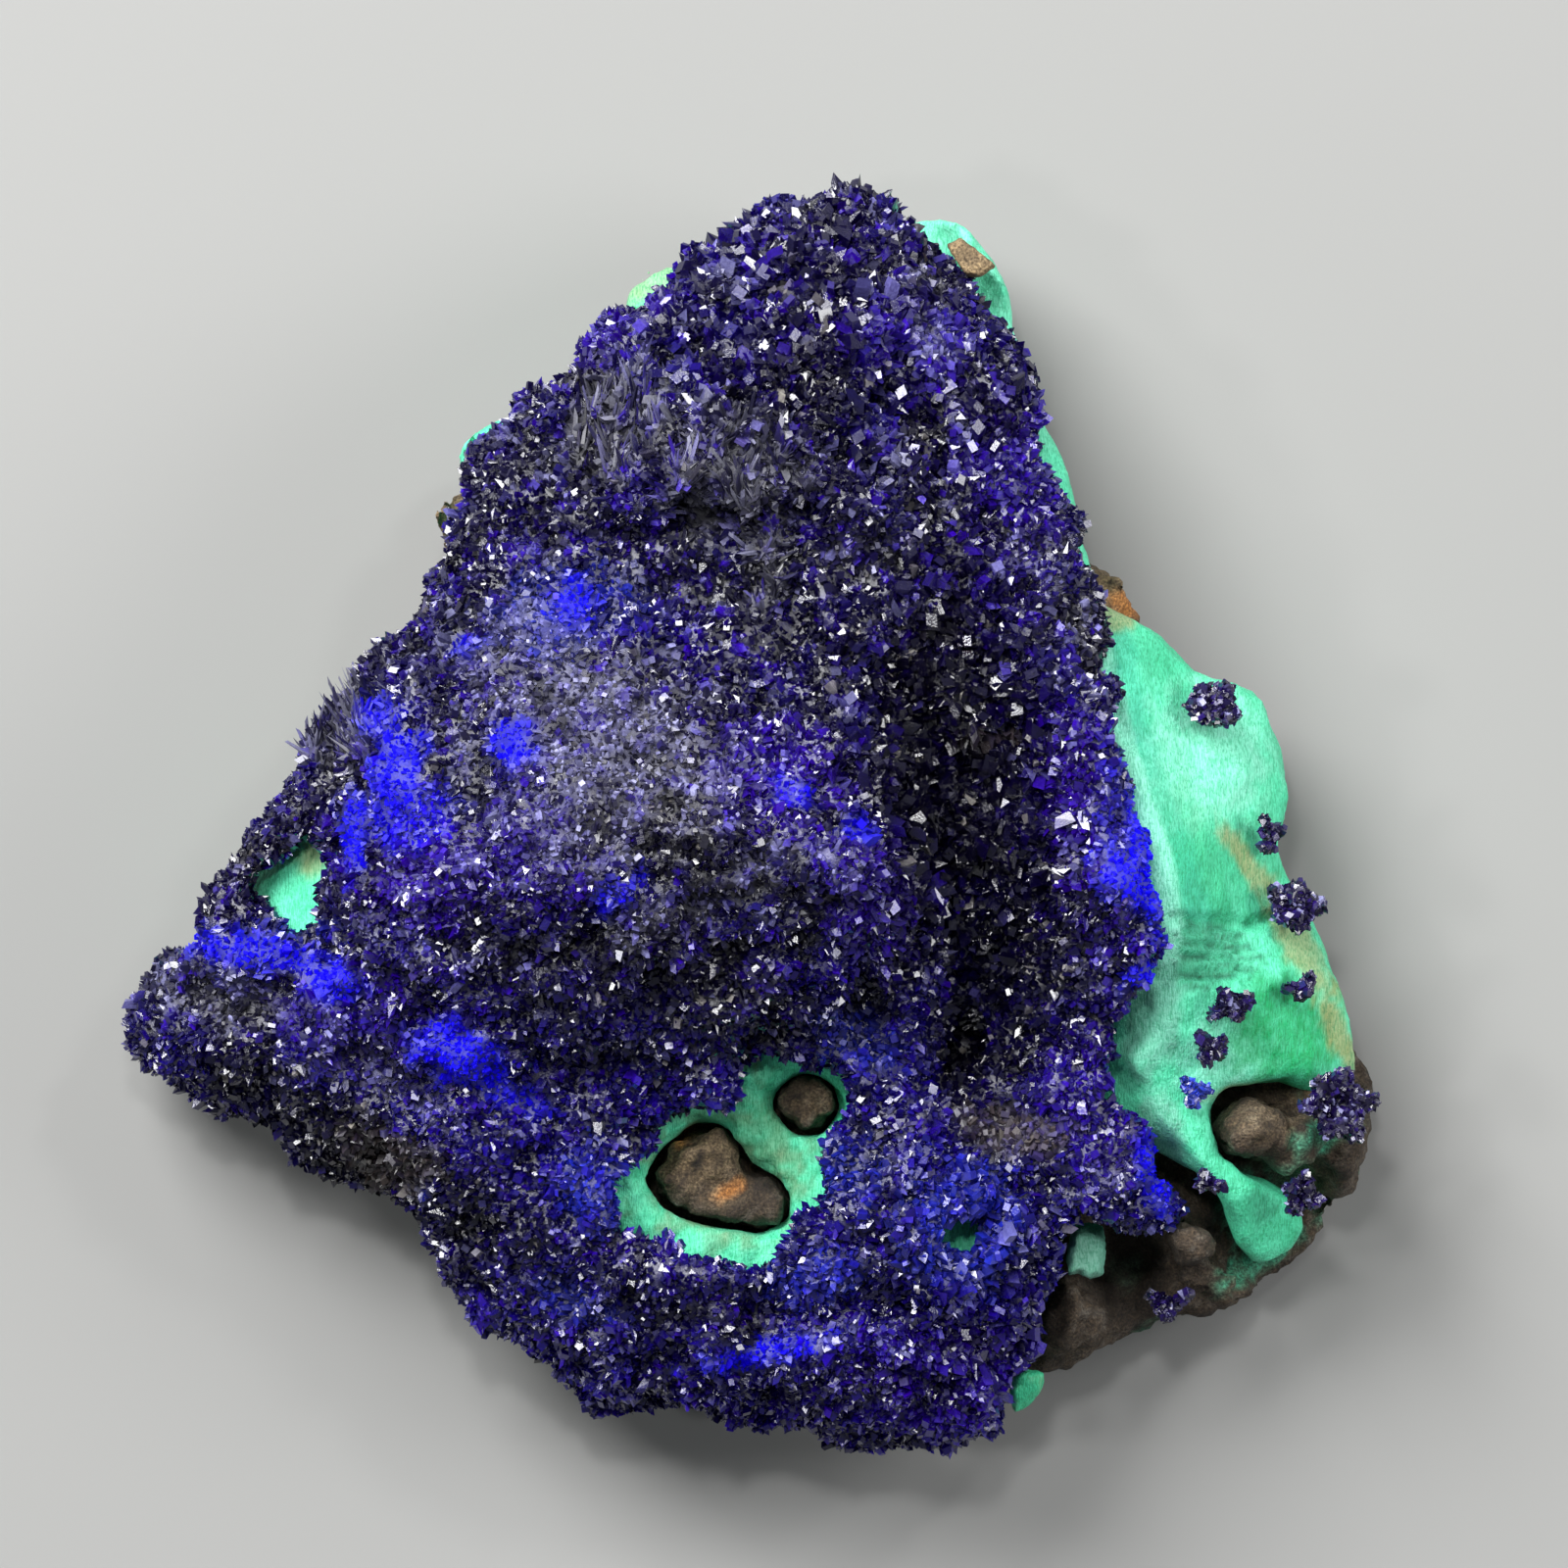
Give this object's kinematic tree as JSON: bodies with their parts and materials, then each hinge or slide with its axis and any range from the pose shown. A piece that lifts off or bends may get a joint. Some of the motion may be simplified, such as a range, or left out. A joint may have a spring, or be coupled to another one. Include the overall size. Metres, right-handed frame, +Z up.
{
  "type": "azurite specimen",
  "caption": "Three-sided mineral specimen: a domed crust of deep blue azurite crystals over green malachite and brown limonite, lying on a broken flat back.",
  "frame": {"origin": "a point near the middle of the flat foot that the specimen rests on", "axes": "+Z up, out of the crystal-covered display face; +Y towards the pointed end; +X towards the green flank"},
  "size_m": [0.0428, 0.0429, 0.0178],
  "materials": {
    "azurite": "gloss",
    "malachite": "satin",
    "limonite": "matte"
  },
  "bodies": {
    "root": {"azurite_crust": "azurite", "azurite_cluster_01": "azurite", "azurite_cluster_02": "azurite", "azurite_cluster_03": "azurite", "azurite_cluster_04": "azurite", "azurite_cluster_05": "azurite", "azurite_cluster_06": "azurite", "azurite_cluster_07": "azurite", "azurite_cluster_08": "azurite", "azurite_cluster_09": "azurite", "azurite_cluster_10": "azurite", "azurite_cluster_11": "azurite", "malachite_layer": "malachite", "malachite_column": "malachite", "malachite_nub": "malachite", "limonite_matrix": "limonite", "limonite_chip": "limonite"}
  },
  "joints": []
}
